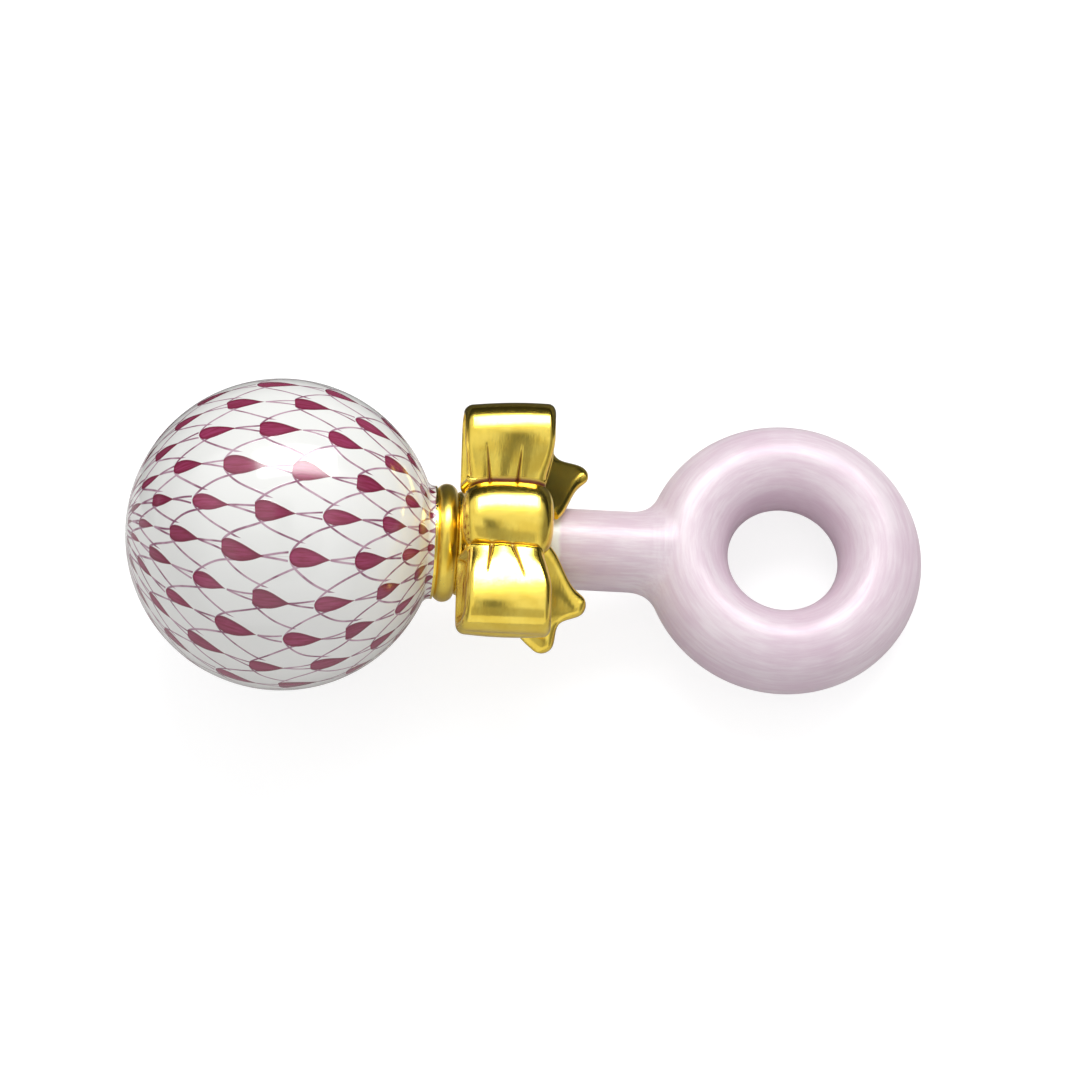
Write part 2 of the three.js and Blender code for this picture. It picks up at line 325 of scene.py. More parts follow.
class Paint:
    """A material under construction, with its coordinates in millimetres in the rattle's frame."""

    def __init__(self, name):
        self.material = bpy.data.materials.new(name)
        self.material.use_nodes = True
        self.tree = self.material.node_tree
        self.shader = self.tree.nodes["Principled BSDF"]
        coordinates = self.tree.nodes.new("ShaderNodeTexCoord")
        scaled = self.tree.nodes.new("ShaderNodeVectorMath")
        scaled.operation = "SCALE"
        scaled.inputs["Scale"].default_value = 1 / MM
        self.tree.links.new(coordinates.outputs["Object"], scaled.inputs[0])
        self.place = Shade(self.tree, scaled.outputs[0])
        parts = self.tree.nodes.new("ShaderNodeSeparateXYZ")
        self.tree.links.new(scaled.outputs[0], parts.inputs[0])
        self.x, self.y, self.z = (Shade(self.tree, parts.outputs[i]) for i in range(3))

    def vector(self, x, y, z):
        node = self.tree.nodes.new("ShaderNodeCombineXYZ")
        for entry, value in zip(node.inputs, (x, y, z)):
            feed(entry, value)
        return Shade(self.tree, node.outputs[0])

    def noise(self, scale, detail=2.0, roughness=0.5, at=None, drift=None):
        """Noise from 0 to 1, with scale in cells for each millimetre; drift is a fourth axis."""
        node = self.tree.nodes.new("ShaderNodeTexNoise")
        feed(node.inputs["Vector"], at or self.place)
        if drift:
            node.noise_dimensions = "4D"
            feed(node.inputs["W"], drift)
        node.inputs["Scale"].default_value = scale
        node.inputs["Detail"].default_value = detail
        node.inputs["Roughness"].default_value = roughness
        return Shade(self.tree, node.outputs["Fac"])

    def chance(self, x, y):
        """A random number for each whole pair of coordinates."""
        node = self.tree.nodes.new("ShaderNodeTexWhiteNoise")
        node.noise_dimensions = "2D"
        feed(node.inputs["Vector"], self.vector(x, y, 0.0))
        return Shade(self.tree, node.outputs["Value"])

    def attribute(self, name):
        """A number written at the mesh's points; 0 on a mesh that lacks it."""
        node = self.tree.nodes.new("ShaderNodeAttribute")
        node.attribute_name = name
        return Shade(self.tree, node.outputs["Fac"])

    def mix(self, share, first, second):
        """A colour between two others, given as sRGB numbers from 0 to 255 or as shader values."""
        node = self.tree.nodes.new("ShaderNodeMix")
        node.data_type = "RGBA"
        feed(node.inputs[0], share)
        feed(node.inputs[6], first if isinstance(first, Shade) else colour(*first))
        feed(node.inputs[7], second if isinstance(second, Shade) else colour(*second))
        return Shade(self.tree, node.outputs[2])

    def bump(self, height, distance, strength=1.0):
        """Relief whose height is a number from 0 to 1 times a distance in millimetres."""
        node = self.tree.nodes.new("ShaderNodeBump")
        node.inputs["Strength"].default_value = strength
        node.inputs["Distance"].default_value = distance * MM
        feed(node.inputs["Height"], height)
        return Shade(self.tree, node.outputs["Normal"])

    def set(self, **values):
        """Fills in the shader's inputs, and gives the finished material."""
        for key, value in values.items():
            feed(self.shader.inputs[key.replace("_", " ").title().replace("Ior", "IOR")], value)
        return self.material


def colour(red, green, blue):
    """Linear colour from sRGB numbers from 0 to 255."""
    def linear(value):
        value /= 255
        return value / 12.92 if value <= 0.04045 else ((value + 0.055) / 1.055) ** 2.4
    return (linear(red), linear(green), linear(blue), 1.0)


# Materials


def scale_row(paint, number, across, column, pitch, spacing):
    """(drop, edge, line) of the scales in one row; across is the distance from the row in rows."""
    odd = number.math("FLOORED_MODULO", 2.0)
    placed = column - odd * 0.5
    whole = placed.math("FLOOR")
    row = number.math("FLOORED_MODULO", float(NET_ROWS))
    luck = paint.chance(row + 0.5, whole + 0.5)
    more_luck = paint.chance(whole + 7.5, row + 3.5)
    along = placed - whole + (luck - 0.5) * 0.07
    side = across.size()
    # the drop: a round head, and a body that tapers to a tip towards the neck
    head = (1.0 - ((DROP_CENTRE - along) * (1 / DROP_HEAD)) ** 2.0).most(0.0) ** 0.5
    taper = ((along - DROP_CENTRE) / (DROP_LENGTH + more_luck * 0.07)).most(0.0).least(1.0)
    body = (taper * (math.pi / 2)).math("COSINE") ** 1.32
    width = head.least(1.0) * along.below(DROP_CENTRE) + body * along.above(DROP_CENTRE - 0.0001)
    width = width * (luck * 0.04 + DROP_HALF) * along.above(DROP_CENTRE - DROP_HEAD)
    inside = (width - side) * spacing
    drop = inside.ramp(-0.05, 0.06)
    edge = inside.ramp(0.1, 0.75, 1.0, 0.0)
    tip = along.ramp(0.36, 0.56)
    # the net: an arc from each head to the next row on both sides
    is_upper = across.above(0.0)
    is_lower = 1.0 - is_upper
    (upper_reach, upper_power), (lower_reach, lower_power) = ARC_UPPER, ARC_LOWER
    upper = side * (1 / upper_reach)
    lower = side * (1 / lower_reach)
    rise = is_upper * upper ** upper_power + is_lower * lower ** lower_power
    steepness = (is_upper * (upper_power / upper_reach) * upper ** (upper_power - 1)
                 + is_lower * (lower_power / lower_reach) * lower ** (lower_power - 1))
    gap = (along - rise).size() / (pitch ** -2.0 + (steepness / spacing) ** 2.0) ** 0.5
    last = is_upper * 0.8 + is_lower * 0.7
    arcs = gap.ramp(NET_LINE - NET_SOFT, NET_LINE + NET_SOFT, 1.0, 0.0) * side.below(last)
    # two fine lines that open from the tip of the last drop to the next head
    before = along - 1.0
    opening = ((before + PAIR_LENGTH) * PAIR_SPREAD).most(0.0)
    off = (side - opening).size() * spacing
    pair = off.ramp(NET_LINE - NET_SOFT, NET_LINE + PAIR_SOFT, 1.0, 0.0)
    pair = pair * before.above(-PAIR_LENGTH)
    return drop, edge.most(tip * 0.8), arcs.most(pair), luck


def net_porcelain():
    """White glaze with a hand-painted net of scales, gilded from the end of the neck."""
    paint = Paint("net_porcelain")
    wave = paint.noise(0.07, 1.0)
    other_wave = paint.noise(0.08, 1.0, at=paint.vector(paint.z, paint.x, paint.y))
    height = (paint.x * (1 / BALL_RADIUS)).least(0.9999).most(-0.9999)
    latitude = height.math("ARCSINE") * (180 / math.pi)
    longitude = (paint.y * -1.0).math("ARCTAN2", paint.z) * (180 / math.pi)
    lean = (latitude + 12.6) * NET_SWIRL + (latitude * (latitude + 8.0) - 58.0) * NET_CURL
    share = latitude * (1 / NET_REACH)
    column = share.math("ARCSINE") * (1 / NET_RATE) - NET_PHASE + (wave - 0.5) * 0.34
    turned = (longitude - NET_START - lean) * (NET_ROWS / 360) + (other_wave - 0.5) * 0.34
    pitch = (1.0 - share * share) ** 0.5 * 10.9
    spacing = (1.0 - height * height) ** 0.5 * (2 * math.pi * BALL_RADIUS / NET_ROWS)
    first = turned.math("FLOOR")
    results = [scale_row(paint, number, number - turned, column, pitch, spacing)
               for number in (first, first + 1.0)]
    drop = results[0][0].most(results[1][0])
    edge = results[0][1] * results[0][0] + results[1][1] * results[1][0]
    luck = results[0][3] * results[0][0] + results[1][3] * results[1][0]
    field = latitude.above(NET_END)
    line = results[0][2].most(results[1][2]) * field
    drop = drop * field
    streaks = paint.noise(1.0, 3.0, 0.6, at=paint.vector(latitude * 0.12, longitude * 1.1, 0.0))
    body = paint.mix(streaks.ramp(0.3, 0.7), (166, 54, 103), (136, 18, 62))
    body = paint.mix(luck * 0.5 + edge * 0.75, body, (120, 14, 56))
    pale = paint.noise(0.35, 2.0)
    stroke = paint.mix(pale.ramp(0.35, 0.65), (164, 92, 134), (126, 44, 90))
    clay = paint.mix(paint.noise(0.05, 3.0), (240, 241, 238), (246, 246, 244))
    painted = paint.mix(line * pale.ramp(0.3, 0.7, 0.68, 0.95), clay, stroke)
    painted = paint.mix(drop * 0.98, painted, body)
    cover = drop.most(line * 0.6)
    relief = cover * 0.5 + paint.noise(0.22, 2.0) * 0.5
    gilded = (paint.x + paint.noise(0.5, 2.0) * 0.3).ramp(GILT_START, GILT_START + 0.1)
    painted = paint.mix(gilded, painted, (244, 214, 94))
    return paint.set(
        base_color=painted, metallic=gilded, roughness=cover * 0.1 + 0.075, ior=1.6,
        coat_weight=0.2, coat_roughness=0.03, normal=paint.bump(relief, 0.04))


def gold_leaf():
    """Burnished gold, duller on the collar, with red-brown showing in the creases."""
    paint = Paint("burnished_gold")
    crease = paint.attribute("crease")
    patches = paint.noise(0.35, 3.0, 0.55)
    strokes = paint.noise(1.0, 4.0, 0.6, at=paint.vector(paint.x * 2.6, paint.y * 0.5, paint.z * 0.5))
    leaf = paint.mix(patches.ramp(0.3, 0.7), (246, 218, 100), (236, 204, 84))
    leaf = paint.mix(strokes.ramp(0.45, 0.8) * 0.3, leaf, (226, 186, 66))
    leaf = paint.mix(crease, leaf, (96, 30, 18))
    relief = strokes * 0.35 + patches * 0.65
    dull = paint.x.ramp(28.0, 30.0, 0.12, 0.0)
    return paint.set(
        base_color=leaf, metallic=1.0 - crease * 0.85,
        roughness=strokes * 0.06 + patches * 0.06 + crease * 0.35 + dull + 0.11,
        normal=paint.bump(relief, 0.035))


def lilac_glaze():
    """Lilac brushed along the stem and round the ring, darker towards the ring's hole (partly the
    glaze's own deeper colour, partly painted shade), with a bare white edge at the ribbon.
    """
    paint = Paint("lilac_glaze")
    dx = paint.x - RING_X
    out = (dx * dx + paint.y * paint.y) ** 0.5
    on_ring = paint.x.ramp(57.0, 66.0)

    def strokes(detail, **flow):
        fine = paint.noise(1.0, detail, 0.65, **flow)
        broad = paint.noise(0.3, 2.0, 0.5, **flow)
        return fine * 0.55 + broad * 0.45

    stem_flow = paint.vector(paint.x * 0.22, paint.y * 2.0, paint.z * 2.0)
    ring_flow = paint.vector(dx / out * 3.4, paint.y / out * 3.4, out * 2.0)
    brushed = (strokes(4.0, at=stem_flow) * (1.0 - on_ring)
               + strokes(4.0, at=ring_flow, drift=paint.z * 2.0) * on_ring)
    cloud = paint.noise(0.08, 3.0)
    # darker lilac towards the ring's hole: partly the glaze's own deeper colour, partly painted shade
    # on the side facing away from the light
    inner = out.ramp(RING_RADIUS - RING_TUBE, RING_RADIUS - 2.0, 1.0, 0.0) * on_ring
    glaze = paint.mix(brushed.ramp(0.38, 0.64), (233, 220, 227), (220, 199, 211))
    glaze = paint.mix((cloud.ramp(0.35, 0.7) * 0.45).most(inner * 0.55), glaze, (206, 176, 195))
    bare = (paint.x + paint.noise(0.5, 2.0) * 0.8).ramp(45.2, 46.0, 1.0, 0.0)
    glaze = paint.mix(bare, glaze, (240, 240, 238))
    relief = brushed * 0.7 + paint.noise(0.15, 2.0) * 0.3
    return paint.set(
        base_color=glaze, roughness=brushed * 0.12 + 0.27, specular_ior_level=0.35,
        coat_weight=0.06, coat_roughness=0.15, normal=paint.bump(relief, 0.035))


def fired_clay():
    """Unglazed clay, for what is inside the ball."""
    paint = Paint("fired_clay")
    grain = paint.noise(4.0, 4.0, 0.7)
    clay = paint.mix(grain.ramp(0.3, 0.7), (232, 222, 206), (206, 190, 170))
    clay = paint.mix(paint.noise(0.6, 2.0).ramp(0.5, 0.75) * 0.4, clay, (190, 164, 138))
    return paint.set(base_color=clay, roughness=grain * 0.3 + 0.5, normal=paint.bump(grain, 0.08))


net_paint = net_porcelain()
gold = gold_leaf()
lilac = lilac_glaze()
clay = fired_clay()

# Ball


def ball_normals(points):
    """Outward directions where points are on the ball's skin, and nothing elsewhere."""
    distance = np.linalg.norm(points, axis=1, keepdims=True)
    outward = points / np.maximum(distance, 1e-9)
    on_ball = np.abs(distance - BALL_RADIUS) < 0.06
    return np.where(on_ball, outward, 0.0)


def end_shell():
    """The half of the ball away from the handle, with a lip that fits inside the other."""
    profile = [
        *arc(0, 0, BALL_RADIUS, -90, 0, 48),
        (0.0, LIP_RADIUS), (LIP_END, LIP_RADIUS),
        *arc(0, 0, BALL_INSIDE, reach(LIP_END, BALL_INSIDE), -90, 30),
    ]
    shell = add_piece("ball_end", *turn(profile, 128), net_paint, "white_glaze", "ball_end_shell")
    exact_normals(shell, ball_normals)


def neck_shell():
    """The half of the ball with the neck, its small flat on the table and its vent."""
    blend = NECK_RADIUS + NECK_FILLET
    blend_x = math.sqrt((BALL_RADIUS + NECK_FILLET) ** 2 - blend ** 2)
    blend_angle = reach(blend_x, BALL_RADIUS + NECK_FILLET)
    hole_x = math.sqrt(BALL_INSIDE ** 2 - NECK_HOLE ** 2)
    profile = [
        *arc(0, 0, BALL_RADIUS, 0, blend_angle, 36),
        *arc(blend_x, blend, NECK_FILLET, blend_angle + 180, 180, 6)[1:],
        (NECK_END, NECK_RADIUS), (NECK_END, NECK_HOLE),
        *arc(0, 0, BALL_INSIDE, reach(hole_x, BALL_INSIDE), reach(LIP_END, BALL_INSIDE), 26),
        (LIP_END, LIP_RADIUS), (0.0, LIP_RADIUS),
    ]
    shell = add_piece("ball_neck", *turn(profile, 128), net_paint, "white_glaze",
                      "ball_neck_shell")
    down = TABLE.to_3x3() @ Vector((0, 0, -1))
    side = down.cross(ACROSS)
    count = 24
    rim = [(side * math.cos(a) + ACROSS * math.sin(a)) * VENT_RADIUS
           for a in np.linspace(0, 2 * np.pi, count, endpoint=False)]
    vent = [tuple(down * far + r) for far in (BALL_INSIDE - 2, BALL_RADIUS + 2) for r in rim]
    faces = grid_faces(2, count, wrap_columns=True)
    faces += [tuple(range(count)), tuple(reversed(range(count, 2 * count)))]
    carve(shell, table_cutter(), cutter(vent, faces))
    exact_normals(shell, ball_normals)


end_shell()
neck_shell()

stopper_profile = [
    (BALL_INSIDE - 0.9, 0.0), (BALL_INSIDE - 0.9, 5.2), (BALL_INSIDE - 0.6, 5.6),
    (NECK_END - 0.6, 5.7), (NECK_END - 0.3, 5.4), (NECK_END - 0.3, 0.0)]
add_piece("stopper", *turn(stopper_profile, 48), clay, "biscuit", "neck_stopper")


def add_pellet(node, body, seed):
    """A hand-rolled ball of clay, a little out of round."""
    low, high = (Vector(corner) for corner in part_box(node))
    centre = TABLE @ ((low + high) / 2)
    mesh = bpy.data.meshes.new(node + "_clay")
    shape = bmesh.new()
    bmesh.ops.create_icosphere(shape, subdivisions=4, radius=1.0)
    waves = np.random.default_rng(seed).normal(size=(6, 3))
    for vertex in shape.verts:
        lumps = sum(math.sin(3 * vertex.co.dot(Vector(wave))) for wave in waves)
        vertex.co = centre + vertex.co * (high.x - low.x) / 2 * (0.97 + 0.008 * lumps)
    shape.to_mesh(mesh)
    shape.free()
    mesh.shade_smooth()
    add_object(mesh.name, mesh, clay, "biscuit", node, body=body)


for joint in frame["record"]["behaviour"]["joints"]:
    for node in frame["record"]["behaviour"]["bodies"][joint["child"]]:
        add_pellet(node, joint["child"], len(node) + int(node[-1]))

# Collar and ribbon


def collar_piece(name, node, outline):
    """A turned ring on the tenon; the outline is its outside."""
    loop = [(outline[0][0], COLLAR_BORE), *outline, (outline[-1][0], COLLAR_BORE)]
    add_piece(name, *turn(loop, 128), gold, "gilding", node)


collar_piece("bead", "collar_bead", [
    (25.03, 8.9), *arc(26.7, 7.9, 1.8, -56, 82, 18), (28.6, 8.05)])
collar_piece("astragal", "collar_astragal", [
    (28.55, 8.05), *arc(29.0, 7.98, 0.55, -60, 60, 10), (29.45, 7.9)])


def band():
    """The ribbon round the neck: raised selvedges, faint gathers, and a lap on the bow's side."""
    outline = [
        (BAND_START, 7.6), *arc(BAND_START + 0.5, 7.75, 0.5, -90, 40, 8),
        *[(x, BAND_RADIUS - 0.12) for x in np.linspace(BAND_START + 1.4, BAND_END - 1.4, 40)],
        *arc(BAND_END - 0.5, 7.75, 0.5, -40, 90, 8), (BAND_END, 7.6)]
    loop = [(BAND_START, COLLAR_BORE), *outline, (BAND_END, COLLAR_BORE)]
    points, faces = turn(loop, 240)
    angle = np.degrees(np.arctan2(points[:, 1], points[:, 2]))
    radius = np.hypot(points[:, 1], points[:, 2])
    outer = radius > 7.7
    gathers = 0.1 * np.sin(np.radians(angle) * 9 + 0.4 * points[:, 0])
    lap = -0.45 * np.maximum(0, 1 - np.abs(angle - LAP_ANGLE) / 3.2)
    middle = 1 - np.clip(np.abs(points[:, 0] - (BAND_START + BAND_END) / 2) / 7.6, 0, 1) ** 6
    change = np.where(outer, gathers * middle + lap, 0)
    points[:, 1:] *= (1 + change / radius)[:, None]
    add_piece("band", points, faces, gold, "gilding", "ribbon_band",
              crease=1 - np.abs(angle - LAP_ANGLE) / 2.4)


band()

# Bow


def smooth(value, low, high):
    """Goes from 0 to 1 as the value goes from low to high, with soft ends."""
    share = np.clip((value - low) / (high - low), 0, 1)
    return share * share * (3 - 2 * share)


def knot_girth(x):
    """Half the knot's width and height at a distance from its middle, and how far it closes."""
    close = np.clip(1 - np.abs(x / KNOT_HALF) ** 5.5, 0, 1) ** (1 / 3.4)
    return (6.5 - 0.8 * ((x - 1.6) / KNOT_HALF) ** 2, 4.4 - 0.5 * ((x + 2.5) / KNOT_HALF) ** 2, close)


def knot_gap(points):
    """Roughly how far points are from the knot's skin, in millimetres."""
    x, y, z = points.T
    wide, high, close = knot_girth(x - KNOT_X)
    size = (np.abs(y / wide) ** KNOT_SQUARE + np.abs((z - KNOT_Z) / high) ** KNOT_SQUARE)
    return (size ** (1 / KNOT_SQUARE) - close) * 5


def add_knot():
    """The plump knot that the loops come out of."""
    rows, columns = 90, 120
    angle = np.linspace(0, 2 * np.pi, columns, endpoint=False)
    c, n = np.cos(angle), np.sin(angle)
    power = 2 / KNOT_SQUARE
    points = []
    for x in KNOT_HALF * np.sin(np.linspace(-np.pi / 2, np.pi / 2, rows)):
        wide, high, close = knot_girth(x)
        y = wide * close * np.sign(n) * np.abs(n) ** power
        z = high * close * np.sign(c) * np.abs(c) ** power
        points.append(np.column_stack([np.full(columns, KNOT_X + x), y, KNOT_Z + z]))
    add_piece("knot", np.vstack(points), grid_faces(rows, columns, wrap_columns=True), gold,
              "gilding", "bow_knot", sharp=60)


add_knot()


def loop_outline(fall):
    """Closed outline of a loop seen from its side, as (y, z); fall is how its top nears the knot."""
    turn_back = LOOP_FOLD - 0.6
    angle = np.radians(np.linspace(-90, 90, 57))
    power = 2 / 2.35
    fold = np.column_stack([
        turn_back + 5.0 * np.abs(np.cos(angle)) ** power,
        LOOP_Z + LOOP_HALF * np.sign(np.sin(angle)) * np.abs(np.sin(angle)) ** power])
    corner = 0.8
    y = np.linspace(turn_back, LOOP_ROOT + corner, 34)[1:]
    top = np.column_stack([y, LOOP_Z + LOOP_HALF - fall(turn_back - y)])
    sag = 0.9 * ((turn_back - y[::-1]) / (turn_back - LOOP_ROOT)) ** 2
    bottom = np.column_stack([y[::-1], LOOP_Z - LOOP_HALF - sag])
    high, low = top[-1, 1] - corner, bottom[0, 1] + corner
    bend = np.radians(np.linspace(0, 90, 6))
    top_corner = np.column_stack([
        LOOP_ROOT + corner * (1 - np.sin(bend)), high + corner * np.cos(bend)])[1:]
    root = np.column_stack([np.full(14, LOOP_ROOT), np.linspace(high, low, 16)[1:-1]])
    bottom_corner = np.column_stack([
        LOOP_ROOT + corner * (1 - np.cos(bend)), low - corner * np.sin(bend)])[:-1]
    return np.vstack([bottom, fold, top, top_corner, root, bottom_corner])


def loop_columns():
    """Rings from the floor of one hollow side, over the ribbon, to the floor of the other.

    Each is (how far it closes in, its end or 0, its depth from that end, its share across).
    """
    rim = [(1.0, 1.5), (0.8, 1.5), (0.66, 1.46), (0.56, 1.3), (0.48, 1.0), (0.42, 0.66),
           (0.36, 0.3), (0.32, 0.08)]
    rim += [(0.278 * (1 - math.cos(t)), LOOP_EDGE * (1 - math.sin(t)))
            for t in np.radians(np.linspace(90, 0, 9))]
    return ([(inset, -1, depth, 0.0) for inset, depth in rim]
            + [(0.0, 0, 0.0, share) for share in np.linspace(-1, 1, 97)[1:-1]]
            + [(inset, 1, depth, 0.0) for inset, depth in reversed(rim)])


def gather(x, away, top, creases):
    """How deep the creases dent a ring at x, and how much red-brown shows in them."""
    dent, red = np.zeros(len(away)), np.zeros(len(away))
    for start, drift, length in creases:
        line = start + drift * away
        fade = np.clip(1 - away / length, 0, 1)
        valley = np.maximum(0, 1 - np.abs(x - line) / (0.12 + 0.3 * fade))
        hollow = smooth(away, 7.5, 0) * np.exp(-((x - line) / 1.1) ** 2)
        dent += top * (0.55 * valley * fade ** 0.6 + 0.2 * hollow)
        shown = (fade > 0.02) * np.clip(fade * 4, 0, 1)
        red = np.maximum(red, top * np.clip(valley * 1.5 - 0.35, 0, 1) * shown)
    return dent, red


def add_loop(name, node, side, creases, near, far, skew, crown_at, fall):
    """A folded ribbon loop with hollow sides, gathered at the knot by two creases.

    On the side of the ball, its half width is near at the fold and far on the leaf underneath.
    """
    outline = loop_outline(fall)
    along = np.roll(outline, -1, axis=0) - np.roll(outline, 1, axis=0)
    outward = np.column_stack([along[:, 1], -along[:, 0]])
    outward /= np.linalg.norm(outward, axis=1, keepdims=True)
    core = np.column_stack([
        np.clip(outline[:, 0], LOOP_ROOT + 3.2, LOOP_FOLD - 0.4), np.full(len(outline), LOOP_Z)])
    away = outline[:, 0] - LOOP_ROOT
    opened = smooth(away, 0, 8)
    under = np.clip((LOOP_Z + LOOP_HALF - outline[:, 1]) / 7, 0, 1)
    right = LOOP_ROOT_HALF + (LOOP_TIP_HALF - LOOP_ROOT_HALF) * opened + 0.3 * under
    left = LOOP_ROOT_HALF + (near - LOOP_ROOT_HALF) * opened
    left = left + np.maximum(far - left, 0) * under
    top = smooth(outward[:, 1], 0.1, 0.6)
    rings, reds = [], []
    for inset, end, depth, share in loop_columns():
        x = (right - left) / 2 + share * ((right + left) / 2 - LOOP_EDGE)
        if end:
            x = right - depth if end > 0 else depth - left
        across = 2 * (x + left) / (left + right) - 1
        crown = 0.6 * (1 - (across - crown_at) ** 2) * smooth(away, -4, 9)
        slump = np.abs(across) ** 3 * smooth(away, 6.5, 0)
        lift = (crown - slump) * (1 - inset) * np.abs(outward[:, 1]) ** 0.5
        dent, red = gather(x, away, top, creases)
        ring = outline + (core - outline) * inset
        ring = ring + (lift - dent * (inset < 0.05))[:, None] * outward
        ring[:, 0] += skew * x * opened
        rings.append(np.column_stack([x, ring]))
        reds.append(red)
    points = np.stack(rings, axis=1)
    points[..., 0] += BOW_X
    points[..., 1] *= side
    faces = grid_faces(*points.shape[:2], wrap_rows=True)
    points = points.reshape(-1, 3)
    joint = 1.45 - 2.1 * np.abs(knot_gap(points))
    add_piece(name, points, faces, gold, "gilding", node, sharp=60,
              crease=np.maximum(np.stack(reds, axis=1).reshape(-1), joint))


add_loop("loop_right", "bow_loop_right", 1, [(-2.9, -0.12, 6.2), (1.5, 0.09, 6.0)],
         near=7.2, far=7.4, skew=0.01, crown_at=0.5,
         fall=lambda d: np.where(d < 2.4, 0.0625 * d ** 2, 0.3 * d - 0.36))
add_loop("loop_left", "bow_loop_left", -1, [(-2.4, -0.13, 5.8), (0.9, 0.34, 6.4)],
         near=6.4, far=7.6, skew=0.0, crown_at=-0.1,
         fall=lambda d: 0.007 * d ** 2 + 0.15 * smooth(d, 5.5, 9.2))


def add_tail(name, node, side, inner, outer, fold):
    """A ribbon end with a swallow-tail notch between two plump, round lobes."""
    across = np.subtract(inner, outer)
    wide = np.linalg.norm(across) / 2
    across /= 2 * wide
    middle = np.add(inner, outer) / 2
    along = middle - np.array(TAIL_ROOT)
    along -= along.dot(across) * across
    length = np.linalg.norm(along)
    along /= length
    up = np.cross(across, along)
    if up[2] < 0:
        up = -up
    rows, columns = 64, 96
    lobe_half = wide + 0.3 * TAIL_LOBE
    straight = 1 - TAIL_LOBE / lobe_half
    q = np.sin(np.linspace(-np.pi / 2, np.pi / 2, columns))
    away = np.abs(q)
    corner = np.clip((away - straight) / (1 - straight), 0, 1)
    end = (length + 0.3 * TAIL_LOBE - TAIL_NOTCH * (1 - smooth(away, 0, straight))
           - TAIL_LOBE * (1 - np.sqrt(1 - corner ** 2)))
    tops, bottoms = [], []
    for p in np.linspace(0, 1, rows):
        start = np.where(q > 0, 8.5, 4.8)
        half = start + (lobe_half - start) * smooth(p, 0, 0.85)
        edge = np.minimum(np.minimum((1 - away) * half, (1 - p) * end), p * end + 2)
        body = np.sqrt(np.clip(1 - (1 - np.clip(edge / TAIL_EDGE, 0, 1)) ** 2, 0, 1))
        ridge = fold * np.exp(-((away - 0.6) * half / 1.9) ** 2) * smooth(p, 0.3, 0.9)
        at = middle + np.outer(p * end - length, along) + np.outer(q * half, across)
        curl = 0.5 * p ** 2 - 0.3
        tops.append(at + np.outer(curl + (ridge + TAIL_THICK) * body, up))
        bottoms.append(at + np.outer(curl - TAIL_THICK * body, up))
    sheet = np.stack(tops + bottoms[::-1]).reshape(-1, 3)
    sheet[:, 1] *= side
    add_piece(name, sheet, grid_faces(2 * rows, columns, wrap_rows=True), gold, "gilding", node,
              sharp=60)


add_tail("tail_right", "bow_tail_right", 1, (49.75, 11.5, 3.4), (41.3, 18.6, 1.2), fold=0.1)
add_tail("tail_left", "bow_tail_left", -1, (49.75, 11.1, 4.5), (43.0, 19.0, 1.9), fold=0.5)

# Handle

stem_profile = [
    (NECK_END, 0.0), (NECK_END, TENON_RADIUS - 0.3), (NECK_END + 0.3, TENON_RADIUS),
    (BAND_END + 0.05, TENON_RADIUS), *arc(BAND_END + 0.55, STEM_RADIUS - 0.5, 0.5, -90, 0, 6),
    *[(x, STEM_RADIUS) for x in np.linspace(46, STEM_JOINT, 24)], (STEM_JOINT, 0.0)]
add_piece("stem", *turn(stem_profile, 96), lilac, "lilac_glaze", "handle_stem")


def handle_distance(p):
    """Distance from the skin of the ring and its stub, with a fillet in the two crotches only."""
    x, y, z = p.T
    to_stem = np.stack([x - np.clip(x, STEM_JOINT - 8, RING_X - RING_RADIUS), y, z])
    stem = np.linalg.norm(to_stem, axis=0) + 1e-9
    out = np.hypot(x - RING_X, y) + 1e-9
    to_ring = np.stack([(out - RING_RADIUS) * (x - RING_X) / out, (out - RING_RADIUS) * y / out, z])
    ring = np.linalg.norm(to_ring, axis=0) + 1e-9
    apart = 1 - (to_stem * to_ring).sum(0) / (stem * ring)
    blend = RING_FILLET * apart + 1e-6
    stem, ring = stem - STEM_RADIUS, ring - RING_TUBE
    near = np.maximum(blend - np.abs(stem - ring), 0) / blend
    return np.minimum(stem, ring) - near ** 2 * blend / 4


def handle_slope(p):
    """Outward directions of the ring and its stub at points near their skin."""
    step = 0.01
    slope = np.stack([
        (handle_distance(p + shift) - handle_distance(p - shift)) / (2 * step)
        for shift in np.eye(3) * step], axis=1)
    return slope / np.linalg.norm(slope, axis=1, keepdims=True)


